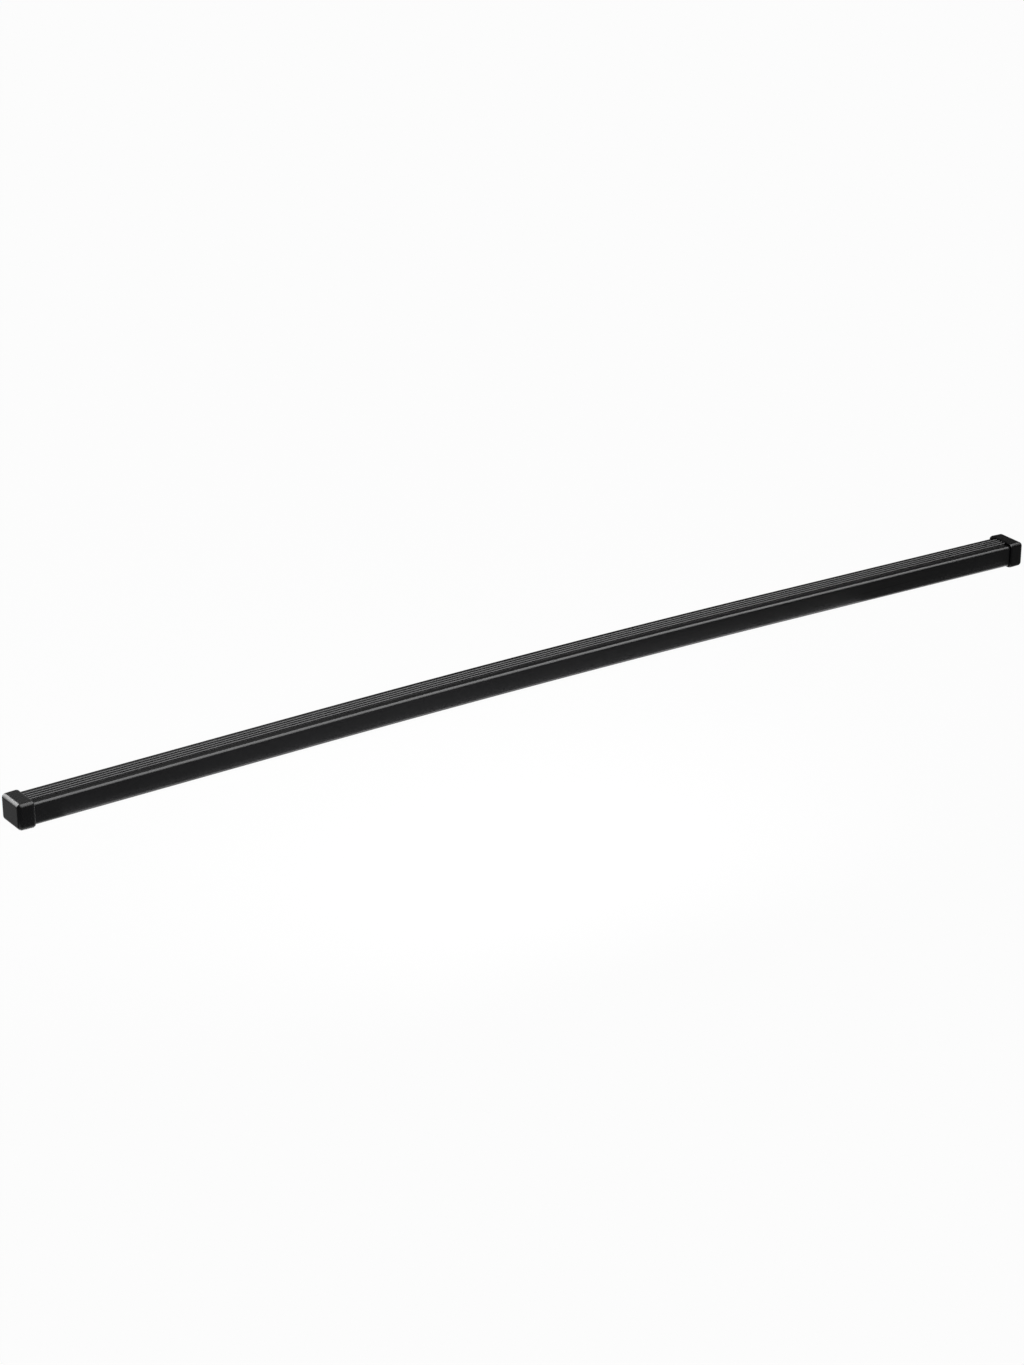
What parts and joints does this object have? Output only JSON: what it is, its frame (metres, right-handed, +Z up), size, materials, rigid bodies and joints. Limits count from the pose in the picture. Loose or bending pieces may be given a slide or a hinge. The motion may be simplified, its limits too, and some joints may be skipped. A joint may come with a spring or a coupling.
{
  "type": "roof rack crossbar",
  "caption": "Black plastic-coated rectangular steel crossbar for a vehicle roof rack, gently arched, with load ribs along its top and push-on end caps.",
  "frame": {"origin": "under mid-span on the centre plane, at the height of the cap rims that the bar lies on", "axes": "+X along the bar, -Y its front side in the picture, +Z up through the ribbed top"},
  "size_m": [1.1802, 0.036, 0.0322],
  "materials": {
    "galvanised_steel": "galvanised, dull",
    "jacket_plastic": "extruded, satin black",
    "cap_plastic": "moulded, satin black"
  },
  "bodies": {
    "bar": {"steel_tube": "galvanised_steel", "plastic_jacket": "jacket_plastic"},
    "left_cap": {"left_end_cap": "cap_plastic"},
    "right_cap": {"right_end_cap": "cap_plastic"}
  },
  "joints": [
    {"name": "left_cap_pull", "type": "slide", "parent": "bar", "child": "left_cap", "axis": [-0.9999, 0, -0.0149], "range_m": [0, 0.025]},
    {"name": "right_cap_pull", "type": "slide", "parent": "bar", "child": "right_cap", "axis": [0.9999, 0, -0.0149], "range_m": [0, 0.025]}
  ]
}
